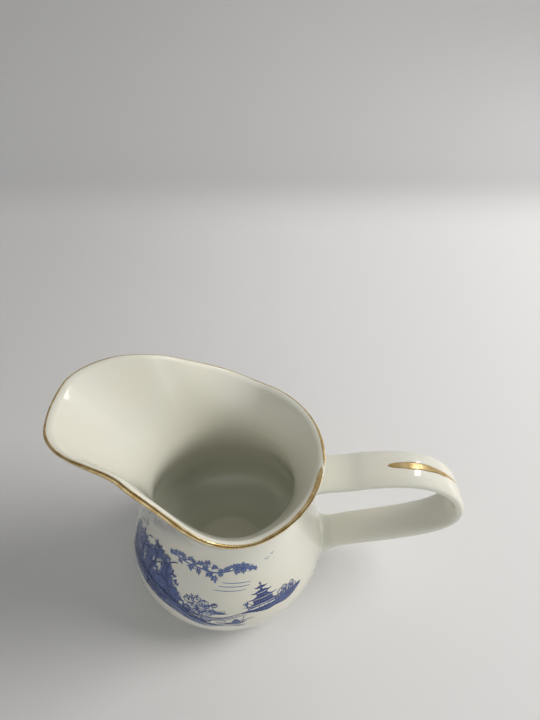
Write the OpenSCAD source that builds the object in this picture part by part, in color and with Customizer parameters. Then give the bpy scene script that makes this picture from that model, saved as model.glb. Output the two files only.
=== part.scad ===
// Porcelain cream jug: a pear-shaped bowl under a flared mouth with a wide spout,
// and a flat strap handle. Cobalt landscape transfers and hand-laid gold finish it.
// Millimetres, +Z up. The origin is the middle of the foot, on the surface it stands on.
// The spout points along -X and the handle along +X.

/* [Bowl] */
// Outside radius of the belly at its widest
belly_r = 31; // [27:0.5:38]
// Height of the widest part of the belly
belly_z = 13.5; // [10:0.5:18]
// Outside radius of the waist under the mouth
waist_r = 23.8; // [19:0.2:28]
// Height of the waist
waist_z = 42; // [34:0.5:52]
// Thickness of the wall, measured level
wall = 2.6; // [2:0.1:4]
// Thickness of the floor of the bowl
floor_t = 2.6; // [1.8:0.1:4]

/* [Foot] */
// Outside radius of the foot ring
foot_r = 21.5; // [17:0.5:25]
// Width of the foot ring
foot_w = 3.2; // [2:0.1:5]
// Height of the foot ring
foot_h = 2; // [1.2:0.1:3]

/* [Mouth and spout] */
// Outside radius of the round part of the mouth
mouth_r = 31.2; // [28:0.5:38]
// How far the mouth sits towards the spout
mouth_shift = 1.8; // [0:0.1:3]
// Height of the lip above the waist at the handle
back_rise = 12.8; // [9:0.5:18]
// Height of the lip above the waist at the tip of the spout
tip_rise = 32; // [24:0.5:42]
// How far the spout reaches past the round mouth
spout_reach = 10.4; // [6:0.2:16]
// How far the sides pinch in where the spout begins
spout_pinch = 1.9; // [0:0.1:3]

/* [Handle] */
// How far the middle of the strap stands out from the belly
handle_out = 40.8; // [32:0.2:50]
// Width of the strap halfway along
strap_w = 12.4; // [9:0.2:15]
// Share of its width that the strap loses from its upper root to its lower one
strap_taper = 0.14; // [0:0.02:0.3]
// Thickness of the strap in the middle; its edges are thinner
strap_t = 3.2; // [2.4:0.1:4.2]
// Drop from the lip at the back to the middle of the top of the strap
arch_drop = 7.1; // [5.5:0.1:10]
// Height of the strap's upper root above the waist
upper_root_up = 2.7; // [2.3:0.1:4]
// How much wider the strap is where it is luted to the wall
root_flare = 1.45; // [1.2:0.05:1.8]

/* [Decoration] */
// Thickness of the printed colour and of the gold
skin_t = 0.12; // [0.08:0.01:0.2]
// Widest part of the gold stroke on the strap
stroke_w = 2.7; // [1.5:0.1:4]

/* [Hidden] */

glaze_colour = "#E4E4DA";
clay_colour = "#D8D2C2";
gold_colour = "#B98A3A";
blue_colour = "#2A3C78";

sides = 60; // flats round the mouth
bowl_steps = 12; // bands on each curve of the bowl
neck_rows = 11; // bands up the flare
lip_steps = 4; // bands over the rounded lip
flare_power = 1.7; // 1 is a straight cone, more turns out later
neck_inset = 0.05; // the flare stands this far inside the bowl's wall
seat_r = foot_r + 1; // where the bowl springs from the foot
well_r = foot_r - 9.5; // flat middle of the bowl's floor inside
floor_z = foot_h + floor_t;

// Angles are measured round the jug from the handle, and are the same on both sides
pinch_at = 112;
pinch_spread = 19;
spout_from = 130;
spout_to = 169;
rise_from = 62;
rise_to = 151;

function ease(t) = let (c = min(max(t, 0), 1)) c * c * (3 - 2 * c);

// Radius of the bowl between the foot and the waist
function upper_bowl_r(z) =
    waist_r + (belly_r - waist_r) * (1 + cos(180 * (z - belly_z) / (waist_z - belly_z))) / 2;
function quarter_r(z, low_r, high_r, low_z) =
    low_r + (high_r - low_r) * sqrt(max(0, 1 - pow((belly_z - z) / (belly_z - low_z), 2)));

// Bowl profile from the foot up, grown outwards by grow
function outer_profile(grow = 0) = concat(
    [for (i = [0:bowl_steps])
        let (z = foot_h + (belly_z - foot_h) * (1 - cos(90 * i / bowl_steps)))
        [quarter_r(z, seat_r, belly_r, foot_h) + grow, z]],
    [for (i = [1:bowl_steps])
        let (z = belly_z + (waist_z - belly_z) * i / bowl_steps)
        [upper_bowl_r(z) + grow, z]]
);
// Inside of the wall, from the floor up
inner_profile = concat(
    [for (i = [0:bowl_steps])
        let (z = floor_z + (belly_z - floor_z) * (1 - cos(90 * i / bowl_steps)))
        [quarter_r(z, well_r, belly_r - wall, floor_z), z]],
    [for (i = [1:bowl_steps])
        let (z = belly_z + (waist_z - belly_z) * i / bowl_steps)
        [upper_bowl_r(z) - wall, z]]
);

function reversed(list) = [for (i = [len(list) - 1:-1:0]) list[i]];
function from_handle(a) = a <= 180 ? a : 360 - a;

// Lip: plan radius about the shifted centre, and height
function lip_r(a) = let (m = from_handle(a))
    mouth_r + spout_reach * ease((m - spout_from) / (spout_to - spout_from))
    - spout_pinch * exp(-pow((m - pinch_at) / pinch_spread, 2));
function lip_z(a) = let (m = from_handle(a))
    waist_z + back_rise + (tip_rise - back_rise) * ease((m - rise_from) / (rise_to - rise_from));

// A point on the flare, u from 0 at the waist to 1 at the lip, set in from the outside
function flare_point(a, u, inset) =
    let (
        turn = pow(u, flare_power),
        low = waist_r - inset,
        high = lip_r(a) - inset
    )
    [(low + (high - low) * turn) * cos(a) - mouth_shift * turn,
     (low + (high - low) * turn) * sin(a),
     waist_z + (lip_z(a) - waist_z) * u];
// A point on the rounded lip, t from 0 at the outer edge to 180 at the inner edge. The
// lip leans out as the flare under it does.
function lip_point(a, t, grow = 0) =
    let (
        slope = [(lip_r(a) - waist_r) * flare_power, lip_z(a) - waist_z],
        lean = slope / norm(slope),
        up = sin(t) * (wall / 2 + grow),
        r = lip_r(a) + cos(t) * (wall / 2 + grow) - wall / 2 + lean[0] * up
    )
    [r * cos(a) - mouth_shift, r * sin(a), lip_z(a) + lean[1] * up];

// Side faces between rows of points; a closed row joins its last point to its first
function side_faces(rows, cols, closed) =
    [for (j = [0:rows - 2]) for (i = [0:cols - (closed ? 1 : 2)])
        let (n = (i + 1) % cols)
        each [[j * cols + i, (j + 1) * cols + i, (j + 1) * cols + n],
              [j * cols + i, (j + 1) * cols + n, j * cols + n]]];

function flatten(rows) = [for (row = rows) each row];

// Flare, lip and spout as one closed wall
neck_rings = concat(
    [for (j = [0:neck_rows])
        [for (i = [0:sides - 1])
            flare_point(360 * i / sides, j / neck_rows, j == 0 ? neck_inset : 0)]],
    [for (j = [1:lip_steps - 1])
        [for (i = [0:sides - 1]) lip_point(360 * i / sides, 180 * j / lip_steps)]],
    [for (j = [neck_rows:-1:0])
        [for (i = [0:sides - 1])
            flare_point(360 * i / sides, j / neck_rows, wall - (j == 0 ? neck_inset : 0))]]
);

module neck_wall() {
    rings = len(neck_rings);
    under = [for (i = [0:sides - 1]) let (n = (i + 1) % sides)
        each [[(rings - 1) * sides + i, i, n],
              [(rings - 1) * sides + i, n, (rings - 1) * sides + n]]];
    polyhedron(
        flatten(neck_rings),
        concat(side_faces(rings, sides, true), under),
        convexity = 8
    );
}

module body() {
    color(glaze_colour) {
        rotate_extrude($fn = 96)
            polygon(concat([[0, foot_h]], outer_profile(), reversed(inner_profile), [[0, floor_z]]));
        neck_wall();
    }
}

// Unglazed ring that the jug stands on, with its edges eased
module foot_ring() {
    ease_r = 0.5;
    color(clay_colour)
        rotate_extrude($fn = 96)
            polygon([
                [foot_r - foot_w, foot_h],
                [foot_r - foot_w + ease_r, 0],
                [foot_r - ease_r, 0],
                [foot_r, ease_r],
                [foot_r, foot_h]
            ]);
}

// --- strap ---
arch_z = waist_z + back_rise - arch_drop;
root_z = belly_z - 1;
root_depth = 3; // how far the ends of the path run into the wall before they are trimmed
// Middle of the strap: share of handle_out past the belly, share of the rise from root to arch
strap_shape = [
    [0.12, 0.95], [0.28, 0.985], [0.46, 1], [0.63, 0.985], [0.78, 0.92], [0.91, 0.8], [0.99, 0.62],
    [0.975, 0.46], [0.87, 0.34], [0.7, 0.25], [0.48, 0.175], [0.28, 0.12], [0.13, 0.07]
];
strap_path = concat(
    [[waist_r - root_depth / 2, waist_z + upper_root_up]],
    [for (p = strap_shape) [belly_r + handle_out * p[0], root_z + (arch_z - root_z) * p[1]]],
    [[belly_r - root_depth, root_z - 0.6]]
);
strap_parts = 3; // rings to each stretch of the path

// Catmull-Rom curve through the path
function spline_at(p, k, t) =
    let (
        a = p[max(k - 1, 0)], b = p[k], c = p[k + 1], d = p[min(k + 2, len(p) - 1)]
    )
    0.5 * (2 * b + (c - a) * t + (2 * a - 5 * b + 4 * c - d) * t * t
        + (3 * b - a - 3 * c + d) * t * t * t);
strap_line = concat(
    [for (k = [0:len(strap_path) - 2]) for (s = [0:strap_parts - 1])
        spline_at(strap_path, k, s / strap_parts)],
    [strap_path[len(strap_path) - 1]]
);
rings_on_strap = len(strap_line);
// Direction across the strap, away from the finger gap
function outward(i) =
    let (
        step = strap_line[min(i + 1, rings_on_strap - 1)] - strap_line[max(i - 1, 0)],
        length = norm(step)
    )
    [-step[1] / length, step[0] / length];
function on_strap(i, y, off) =
    [strap_line[i][0] + outward(i)[0] * off, y, strap_line[i][1] + outward(i)[1] * off];

// Outline of the strap: half width w, half thickness t, thinner towards its edges
strap_side = [[1, -0.35], [1, 0.35], [0.86, 0.75], [0.5, 1]];
function strap_outline(w, t) = [
    for (p = strap_side) [p[0] * w, p[1] * t],
    for (k = [3:-1:0]) [-strap_side[k][0] * w, strap_side[k][1] * t],
    for (k = [2:3]) [-strap_side[k][0] * w, -strap_side[k][1] * t],
    for (k = [3:-1:2]) [strap_side[k][0] * w, -strap_side[k][1] * t]
];
outline_points = 12;
function half_width(i) = strap_w / 2 * (1 + strap_taper * (0.5 - i / (rings_on_strap - 1)));

// Solid swept along the strap from ring first to ring last; each ring of grows scales the
// strap's width and thickness there
module strap_sweep(first, last, grows) {
    rings = [for (i = [first:last]) let (g = grows[i - first])
        [for (p = strap_outline(half_width(i) * g[0], strap_t / 2 * g[1])) on_strap(i, p[0], p[1])]];
    count = last - first + 1;
    polyhedron(
        flatten(rings),
        concat(
            side_faces(count, outline_points, true),
            [[for (k = [0:outline_points - 1]) k]],
            [[for (k = [outline_points - 1:-1:0]) (count - 1) * outline_points + k]]
        ),
        convexity = 6
    );
}

// The solid inside the jug's outer wall, near the handle only
patch_sides = 6; // flats each way from the handle
module wall_at_handle() {
    rotate_extrude($fn = 96)
        polygon(concat([[0, foot_h]], outer_profile(), [[0, waist_z]]));
    rings = [for (j = [0:neck_rows])
        concat(
            [[0, 0, flare_point(0, j / neck_rows, 0)[2]]],
            [for (i = [-patch_sides:patch_sides])
                flare_point((360 + 360 * i / sides) % 360, j / neck_rows, 0)]
        )];
    cols = 2 * patch_sides + 2;
    polyhedron(
        flatten(rings),
        concat(
            side_faces(neck_rows + 1, cols, true),
            [for (i = [1:cols - 2]) [0, i, i + 1]],
            [for (i = [1:cols - 2]) [neck_rows * cols, neck_rows * cols + i + 1, neck_rows * cols + i]]
        ),
        convexity = 4
    );
}

module handle() {
    color(glaze_colour)
        difference() {
            strap_sweep(0, rings_on_strap - 1, [for (i = [1:rings_on_strap]) [1, 1]]);
            wall_at_handle();
        }
}

luting_rings = 7; // rings of the strap that each luted joint covers
upper_thicken = 1.45; // how much thicker than the strap each joint is at the wall
lower_thicken = 2.2;
function luting_grow(k, thicken) =
    let (fade = pow(1 - k / luting_rings, 2))
    [1 + (root_flare - 1) * fade, 1 + (thicken - 1) * fade];

module upper_luting() {
    color(glaze_colour)
        difference() {
            strap_sweep(0, luting_rings,
                [for (k = [0:luting_rings]) luting_grow(k, upper_thicken)]);
            wall_at_handle();
            strap_sweep(0, luting_rings + 1, [for (k = [0:luting_rings + 1]) [1, 1]]);
        }
}

module lower_luting() {
    last = rings_on_strap - 1;
    color(glaze_colour)
        difference() {
            strap_sweep(last - luting_rings, last,
                [for (k = [luting_rings:-1:0]) luting_grow(k, lower_thicken)]);
            wall_at_handle();
            strap_sweep(last - luting_rings - 1, last, [for (k = [0:luting_rings + 1]) [1, 1]]);
        }
}

// --- gold ---
// Open band over the outer half of the lip, with its two ends apart at the handle
module rim_gilding() {
    cols = sides - 1;
    bands = 2;
    angles = [for (i = [1:sides - 1]) 360 * i / sides];
    under = [for (j = [0:bands]) [for (a = angles) lip_point(a, 180 * j / lip_steps)]];
    over = [for (j = [0:bands]) [for (a = angles) lip_point(a, 180 * j / lip_steps, skin_t)]];
    count = (bands + 1) * cols;
    over_faces = side_faces(bands + 1, cols, false);
    low_edge = [for (i = [0:cols - 2])
        each [[count + i, i, i + 1], [count + i, i + 1, count + i + 1]]];
    high_edge = [for (i = [0:cols - 2]) let (k = bands * cols + i)
        each [[k, count + k, count + k + 1], [k, count + k + 1, k + 1]]];
    ends = [for (j = [0:bands - 1])
        let (a = j * cols, b = (j + 1) * cols, c = a + cols - 1, d = b + cols - 1)
        each [[a, count + a, count + b], [a, count + b, b],
              [c, count + d, count + c], [c, d, count + d]]];
    color(gold_colour)
        polyhedron(
            concat(flatten(over), flatten(under)),
            concat(
                over_faces,
                [for (f = over_faces) [f[2] + count, f[1] + count, f[0] + count]],
                low_edge,
                high_edge,
                ends
            ),
            convexity = 6
        );
}

stroke_from = 10; // ring of the strap where the brush went down
stroke_to = 22; // ring where it was lifted
// Half width of the stroke: full soon after the brush goes down, then a long taper
function stroke_half(i) =
    let (t = (i - stroke_from + 0.15) / (stroke_to - stroke_from + 0.3))
    stroke_w / 2 * pow(sin(180 * pow(t, 0.55)), 0.9);

module handle_gilding() {
    count = stroke_to - stroke_from + 1;
    low = strap_t / 2;
    high = strap_t / 2 + skin_t;
    rings = [for (i = [stroke_from:stroke_to]) let (h = stroke_half(i))
        [on_strap(i, h, low), on_strap(i, h, high), on_strap(i, -h, high), on_strap(i, -h, low)]];
    color(gold_colour)
        polyhedron(
            flatten(rings),
            concat(
                side_faces(count, 4, true),
                [[0, 1, 2, 3]],
                [[for (k = [3:-1:0]) (count - 1) * 4 + k]]
            )
        );
}

// --- prints ---
// Colour lies in a thin layer on the bowl wherever the outlines and round spots, drawn flat
// as seen from outside at this angle and height, fall on it. A spot is [across, up, radius].
module on_wall(angle, height, spots = []) {
    past_wall = belly_r + 5;
    color(blue_colour)
        intersection() {
            rotate_extrude($fn = 96)
                polygon(concat(outer_profile(), reversed(outer_profile(skin_t))));
            translate([0, 0, height])
                rotate([90, 0, angle + 90]) {
                    for (k = [0:1:$children - 1])
                        linear_extrude(height = past_wall)
                            children(k);
                    for (s = spots)
                        translate([s[0], s[1], 0])
                            cylinder(h = past_wall, r = s[2], $fn = 24);
                }
        }
}

// Trees and rocks, taller towards the spout
module grove_print() {
    on_wall(218, 17,
        [[-11.5, 13, 2.6], [-6, 15.5, 2.8], [-1, 14.5, 2.6], [4, 12.5, 2.4], [8.5, 8.5, 2.2]])
        polygon([[-14, 1], [-13, 11], [-8, 14], [-2, 13], [5, 11], [9, 6], [14, 2], [13, -1],
            [5, 0], [-6, 1]]);
}

// Bough with clusters of leaves
module branch_print() {
    on_wall(263, 35,
        [[-10, 2.6, 1.4], [-6.5, 1.8, 1.6], [-3, 1.2, 1.5], [0.5, -0.2, 1.6],
         [1.5, -2.6, 1.1], [4.5, -0.6, 1.2], [8, -1, 1.3], [11.5, -1.2, 1.6]])
        polygon([[-14, 2.2], [-6, 0.8], [2, -0.6], [10, -1.2], [14, -1.6], [14, -2.2], [2, -1.6],
            [-6, -0.2], [-14, 1.4]]);
}

module bush_print() {
    on_wall(258, 20.5,
        [[-4.4, 2.6, 1.9], [-1.6, 3.6, 2], [1.4, 2.6, 1.9], [-3, 0.4, 2], [0.6, 0.2, 2],
         [3.6, 1.4, 1.5]]);
}

module shore_print() {
    on_wall(262, 15)
        polygon([[-8, 2.2], [0, 1.4], [8, 2], [14, 1.2], [9, 0.2], [0, -0.4], [-8, 0.6]]);
}

// Tower of four roofs on the far bank
module pagoda_print() {
    roofs = 4;
    tier = 2.4;
    half = [for (k = [0:roofs - 1]) 4.8 - k * 0.9];
    eaves = [for (k = [0:roofs - 1]) 0.6 + k * tier];
    // Right-hand edge from the ground up; the left-hand edge mirrors it
    edge = [for (k = [0:roofs - 1])
        each [[half[k], eaves[k]], [half[k] - 1.6, eaves[k] + 1.1], [half[k] - 1.8, eaves[k] + tier]]];
    on_wall(296, 18.5) {
        polygon(concat(edge, reversed([for (p = edge) [-p[0], p[1]]])));
        polygon([[-9, -0.6], [0, 0.8], [8, 2], [12.5, 3.4], [10, 0.6], [2, -0.6]]);
    }
}

// Thin streaks of mist over the water
module cloud_print() {
    streak_w = 0.45;
    on_wall(278, 29)
        for (k = [0:2])
            translate([-7 + k, k * 1.1 - 1.1])
                square([13 - 2 * k, streak_w]);
}

body();
foot_ring();
handle();
upper_luting();
lower_luting();
rim_gilding();
handle_gilding();
grove_print();
branch_print();
bush_print();
shore_print();
pagoda_print();
cloud_print();
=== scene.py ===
import math
import random

import bmesh
import bpy
import numpy as np
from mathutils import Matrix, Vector
from mathutils.bvhtree import BVHTree


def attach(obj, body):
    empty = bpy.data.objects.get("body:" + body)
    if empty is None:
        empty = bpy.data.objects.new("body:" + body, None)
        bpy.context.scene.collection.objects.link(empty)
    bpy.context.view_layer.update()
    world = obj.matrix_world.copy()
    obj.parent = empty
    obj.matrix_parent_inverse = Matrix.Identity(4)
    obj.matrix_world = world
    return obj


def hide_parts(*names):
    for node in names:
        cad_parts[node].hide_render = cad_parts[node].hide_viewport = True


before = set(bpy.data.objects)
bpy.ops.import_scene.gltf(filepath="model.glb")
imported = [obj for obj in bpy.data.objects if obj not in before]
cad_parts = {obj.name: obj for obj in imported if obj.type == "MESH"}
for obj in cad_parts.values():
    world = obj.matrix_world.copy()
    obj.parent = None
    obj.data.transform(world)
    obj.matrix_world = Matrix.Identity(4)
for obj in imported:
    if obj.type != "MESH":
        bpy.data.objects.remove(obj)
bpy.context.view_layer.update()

# the jug's sizes in millimetres, and in degrees round it from the handle; they are the CAD
# part's own, but for the lip
jug = {
    "bellyR": 31.0,
    "bellyZ": 13.5,
    "waistR": 23.8,
    "waistZ": 42.0,
    "wall": 2.6,
    "lip": 2.2,  # the wall thins to this at its edge
    "seatR": 22.5,  # where the bowl starts, over the foot
    "wellR": 12.0,  # flat middle of the floor inside
    "footZ": 2.0,
    "floorZ": 4.6,
    "mouthR": 31.2,
    "mouthShift": 1.8,
    "backRise": 12.8,
    "tipRise": 32.0,
    "spoutReach": 10.4,
    "spoutPinch": 1.9,
    "flarePower": 1.7,
    "pinchAt": 112,
    "pinchSpread": 19,
    "spoutFrom": 130,
    "spoutTo": 169,
    "riseFrom": 62,
    "riseTo": 151,
}


# wraps an output socket, so node maths reads like ordinary sums
class Wire:
    def __init__(self, graph, socket):
        self.graph = graph
        self.socket = socket

    def sum(self, operation, a, b):
        return self.graph.add("ShaderNodeMath", {"operation": operation}, {0: a, 1: b})

    def __add__(self, other):
        return self.sum("ADD", self, other)

    def __radd__(self, other):
        return self.sum("ADD", other, self)

    def __sub__(self, other):
        return self.sum("SUBTRACT", self, other)

    def __rsub__(self, other):
        return self.sum("SUBTRACT", other, self)

    def __mul__(self, other):
        return self.sum("MULTIPLY", self, other)

    def __rmul__(self, other):
        return self.sum("MULTIPLY", other, self)

    def __truediv__(self, other):
        return self.sum("DIVIDE", self, other)

    def __pow__(self, other):
        return self.sum("POWER", self, other)

    def __abs__(self):
        return self.graph.add("ShaderNodeMath", {"operation": "ABSOLUTE"}, {0: self})

    def above(self, other):
        return self.sum("GREATER_THAN", self, other)


class Graph:
    def __init__(self, tree):
        self.tree = tree

    # one node: its settings first, then a value or a Wire for each named or numbered socket
    def add(self, kind, settings=None, sockets=None, out=0):
        node = self.tree.nodes.new(kind)
        for name, value in (settings or {}).items():
            if name == "stops":
                ramp = node.color_ramp
                while len(ramp.elements) < len(value):
                    ramp.elements.new(0.5)
                for element, (place, colour) in zip(ramp.elements, value):
                    element.position = place
                    element.color = colour
            else:
                setattr(node, name, value)
        for key, value in (sockets or {}).items():
            if isinstance(value, Wire):
                self.tree.links.new(value.socket, node.inputs[key])
            elif value is not None:
                node.inputs[key].default_value = value
        return Wire(self, node.outputs[out])

    # another output of the node that a Wire comes from
    def also(self, wire, out):
        return Wire(self, wire.socket.node.outputs[out])

    def blend(self, factor, a, b):
        return self.add("ShaderNodeMix", {"data_type": "RGBA"}, {0: factor, 6: a, 7: b}, 2)

    def smooth(self, value, low, high):
        return self.add("ShaderNodeMapRange", {"interpolation_type": "SMOOTHSTEP"},
                        {0: value, 1: low, 2: high})

    def noise(self, where, scale, detail=2.0, rough=0.5):
        return self.add("ShaderNodeTexNoise", None,
                        {"Vector": where, "Scale": scale, "Detail": detail, "Roughness": rough})

    def bump(self, height, strength, distance):
        return self.add("ShaderNodeBump", None,
                        {"Strength": strength, "Distance": distance, "Height": height})

    def attribute(self, name):
        return self.add("ShaderNodeAttribute", {"attribute_name": name}, None, "Fac")

    def uv(self, name):
        return self.add("ShaderNodeUVMap", {"uv_map": name})

    def place(self):
        return self.add("ShaderNodeTexCoord", None, None, "Object")


def newMaterial(name):
    material = bpy.data.materials.new(name)
    material.use_nodes = True
    material.node_tree.nodes.clear()
    return material, Graph(material.node_tree)


def finishMaterial(graph, sockets):
    shader = graph.add("ShaderNodeBsdfPrincipled", None, sockets, "BSDF")
    output = graph.tree.nodes.new("ShaderNodeOutputMaterial")
    graph.tree.links.new(shader.socket, output.inputs["Surface"])


# the glassy coat over everything that was glazed
coatLook = {"Specular IOR Level": 0.3, "IOR": 1.5, "Coat Roughness": 0.035}

glazeLook = {
    "colour": (0.77, 0.765, 0.68, 1),
    "warm": (0.78, 0.762, 0.655, 1),
    "pooledAndShaded": (0.56, 0.59, 0.50, 1),
    "speck": (0.30, 0.24, 0.17, 1),
    "roughness": 0.11,
    "cloudScale": 45,
    "speckScale": 150,
    "speckShare": 0.07,
    "waveScale": 55,
    "peelScale": 900,
}


# clear glaze over a warm white body: faint clouding, pinhead specks and a slow wave in the surface, and a
# darker olive where glaze gathers that also paints shade inside the bowl, low on the body and in the crease
# round the strap
def makeGlaze():
    material, g = newMaterial("clear glaze on porcelain")
    look = glazeLook
    where = g.place()
    cloud = g.noise(where, look["cloudScale"], 3)
    colour = g.blend(g.smooth(cloud, 0.35, 0.7), look["colour"], look["warm"])
    # darker olive: glaze gathered in hollows, together with painted shade
    colour = g.blend(g.attribute("pool") * 0.75, colour, look["pooledAndShaded"])
    cell = g.add("ShaderNodeTexVoronoi", None, {"Vector": where, "Scale": look["speckScale"]})
    chance = g.add("ShaderNodeSeparateColor", None, {0: g.also(cell, "Color")})
    speck = (1 - g.smooth(cell, 0.012, 0.03)) * chance.above(1 - look["speckShare"])
    colour = g.blend(speck * 0.55, colour, look["speck"])
    wave = g.noise(where, look["waveScale"], 1, 0.4)
    peel = g.noise(where, look["peelScale"])
    finishMaterial(g, {
        **coatLook,
        "Base Color": colour,
        "Roughness": g.noise(where, 90, 4, 0.6) * 0.10 + look["roughness"],
        "Normal": g.bump(wave + peel * 0.025, 0.35, 0.00008),
        "Coat Weight": 0.9 - speck * 0.4,
    })
    return material


cobaltLook = {
    "pale": (0.34, 0.42, 0.60, 1),
    "middle": (0.075, 0.142, 0.37, 1),
    "deep": (0.010, 0.032, 0.165, 1),
}


# blue colour under the glaze: it pools darker in some places and breaks up at the edge of a wash
def makeCobalt():
    material, g = newMaterial("cobalt under glaze")
    sheet = g.uv("sheet")
    grain = g.noise(sheet, 9, 4, 0.65)
    drift = g.noise(sheet, 1.7)
    tone = g.attribute("tone") + (grain - 0.5) * 0.30 + (drift - 0.5) * 0.24
    stops = [(0.0, cobaltLook["pale"]), (0.5, cobaltLook["middle"]), (1.0, cobaltLook["deep"])]
    finishMaterial(g, {
        **coatLook,
        "Base Color": g.add("ShaderNodeValToRGB", {"stops": stops}, {0: tone}),
        "Roughness": 0.12 + grain * 0.08,
        "Alpha": g.smooth(1 - g.attribute("fade") + (grain - 0.5) * 0.5, 0.12, 0.9),
        "Coat Weight": 0.9,
    })
    return material


goldLook = {
    "bright": (0.95, 0.77, 0.42, 1),
    "deep": (0.66, 0.44, 0.17, 1),
    "thin": (0.30, 0.19, 0.09, 1),
    "roughness": 0.19,
}


# burnished gold: brush lines run along the band, and it is thinner and browner at its edges
def makeGold():
    material, g = newMaterial("burnished bright gold")
    laid = g.uv("laid")
    across = g.also(g.add("ShaderNodeSeparateXYZ", None, {0: laid}), "Y")
    edge = g.smooth(abs(across - 0.5), 0.30, 0.52)
    stretched = g.add("ShaderNodeMapping", None, {"Vector": laid, "Scale": (0.5, 14, 1)})
    brush = g.noise(stretched, 1.2, 3, 0.6)
    patch = g.noise(laid, 0.35, 3, 0.6)
    colour = g.blend(g.smooth(patch, 0.3, 0.7), goldLook["deep"], goldLook["bright"])
    colour = g.blend(g.smooth(brush + edge * 0.5, 0.55, 1.1), colour, goldLook["thin"])
    finishMaterial(g, {
        "Base Color": colour,
        "Roughness": goldLook["roughness"] + brush * 0.12 + edge * 0.12,
        "Metallic": 1 - edge * 0.3,
        "Normal": g.bump(brush, 0.5, 0.00002),
    })
    return material


clayLook = {
    "colour": (0.70, 0.66, 0.56, 1),
    "stain": (0.42, 0.35, 0.26, 1),
    "roughness": 0.8,
    "gritScale": 2600,
    "stainScale": 190,
}


# bare fired clay with fine grit and a little dirt where it stands
def makeClay():
    material, g = newMaterial("bare fired clay")
    where = g.place()
    grit = g.noise(where, clayLook["gritScale"], 5, 0.7)
    stain = g.smooth(g.noise(where, clayLook["stainScale"], 5, 0.7), 0.52, 0.72)
    colour = g.blend(stain * 0.55, clayLook["colour"], clayLook["stain"])
    finishMaterial(g, {
        "Base Color": g.blend((grit - 0.5) * 0.5, colour, clayLook["stain"]),
        "Roughness": clayLook["roughness"] + (grit - 0.5) * 0.2,
        "Normal": g.bump(grit, 0.6, 0.00006),
    })
    return material


glaze = makeGlaze()
cobalt = makeCobalt()
gold = makeGold()
clay = makeClay()
print("materials made")


def ease(t):
    t = np.clip(t, 0, 1)
    return t * t * (3 - 2 * t)


# eases from 0 to 1 while the value goes from start to end
def ramp(value, start, end):
    return ease((value - start) / (end - start))


def sinDegrees(angle):
    return np.sin(np.radians(angle))


# degrees round the jug from the handle, the same on both sides
def fromHandle(angle):
    return np.abs((angle + 180) % 360 - 180)


def lipRadius(angle):
    m = fromHandle(angle)
    pinch = jug["spoutPinch"] * np.exp(-((m - jug["pinchAt"]) / jug["pinchSpread"]) ** 2)
    return jug["mouthR"] + jug["spoutReach"] * ramp(m, jug["spoutFrom"], jug["spoutTo"]) - pinch


def lipHeight(angle):
    rise = ramp(fromHandle(angle), jug["riseFrom"], jug["riseTo"])
    return jug["waistZ"] + jug["backRise"] + (jug["tipRise"] - jug["backRise"]) * rise


def ringPoints(angle, radius, height, shift=0.0):
    turn = np.radians(angle)
    z = np.broadcast_to(height, turn.shape)
    return np.stack([radius * np.cos(turn) - shift, radius * np.sin(turn), z], 1)


# bowl below the waist, as rings from its low edge: a quarter turn out to the belly, then half
# a cosine wave in to the neck
def bowlRings(angle, low, high, lowZ, neck, steps):
    rings = []
    for k in range(1, steps[0] + 1):
        part = math.pi / 2 * k / steps[0]
        z = lowZ + (jug["bellyZ"] - lowZ) * (1 - math.cos(part))
        rings.append(ringPoints(angle, low + (high - low) * math.sin(part), z))
    for k in range(1, steps[1] + 1):
        z = jug["bellyZ"] + (jug["waistZ"] - jug["bellyZ"]) * k / steps[1]
        rings.append(ringPoints(angle, neck + (high - neck) * (1 + math.cos(math.pi * k / steps[1])) / 2, z))
    return rings


def flareRing(angle, u, inset):
    turn = u ** jug["flarePower"]
    low, high = jug["waistR"] - inset, lipRadius(angle) - inset
    height = jug["waistZ"] + (lipHeight(angle) - jug["waistZ"]) * u
    return ringPoints(angle, low + (high - low) * turn, height, jug["mouthShift"] * turn)


# a point over the rounded lip, which leans out as the flare under it does: t is 0 at the
# outer edge and 180 at the inner one
def lipRing(angle, t, grow=0.0):
    half = jug["lip"] / 2
    t = np.radians(t)
    out = (lipRadius(angle) - jug["waistR"]) * jug["flarePower"]
    up = lipHeight(angle) - jug["waistZ"]
    length = np.hypot(out, up)
    rise = np.sin(t) * (half + grow)
    radius = lipRadius(angle) + np.cos(t) * (half + grow) - half + rise * out / length
    return ringPoints(angle, radius, lipHeight(angle) + rise * up / length, jug["mouthShift"])


# rows of points, in millimetres, joined into a skin; uv holds one pair for each point
def skinMesh(name, rows, aroundRow=True, aroundRows=False, uv=None, attributes=None):
    count, width = len(rows), len(rows[0])
    points = np.concatenate(rows) * 0.001
    faces = []
    for r in range(count if aroundRows else count - 1):
        for c in range(width if aroundRow else width - 1):
            d, e = (c + 1) % width, (r + 1) % count
            faces.append((r * width + c, r * width + d, e * width + d, e * width + c))
    mesh = bpy.data.meshes.new(name)
    mesh.from_pydata(points.tolist(), [], faces)
    if uv is not None:
        corner = np.zeros(len(mesh.loops), np.int32)
        mesh.loops.foreach_get("vertex_index", corner)
        layer = mesh.uv_layers.new(name="laid")
        layer.data.foreach_set("uv", np.asarray(uv, float).reshape(-1, 2)[corner].ravel())
    for key, values in (attributes or {}).items():
        setValues(mesh, key, values)
    return mesh


# one number for each point, for the materials to read
def setValues(mesh, key, values):
    layer = mesh.attributes.new(key, "FLOAT", "POINT")
    layer.data.foreach_set("value", np.asarray(values, float).ravel())


# rows of a tube with both its ends drawn in to their middles
def closeEnds(rows):
    first, last = (np.repeat(row.mean(0)[None], len(row), 0) for row in (rows[0], rows[-1]))
    return [first, *rows, last]


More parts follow.
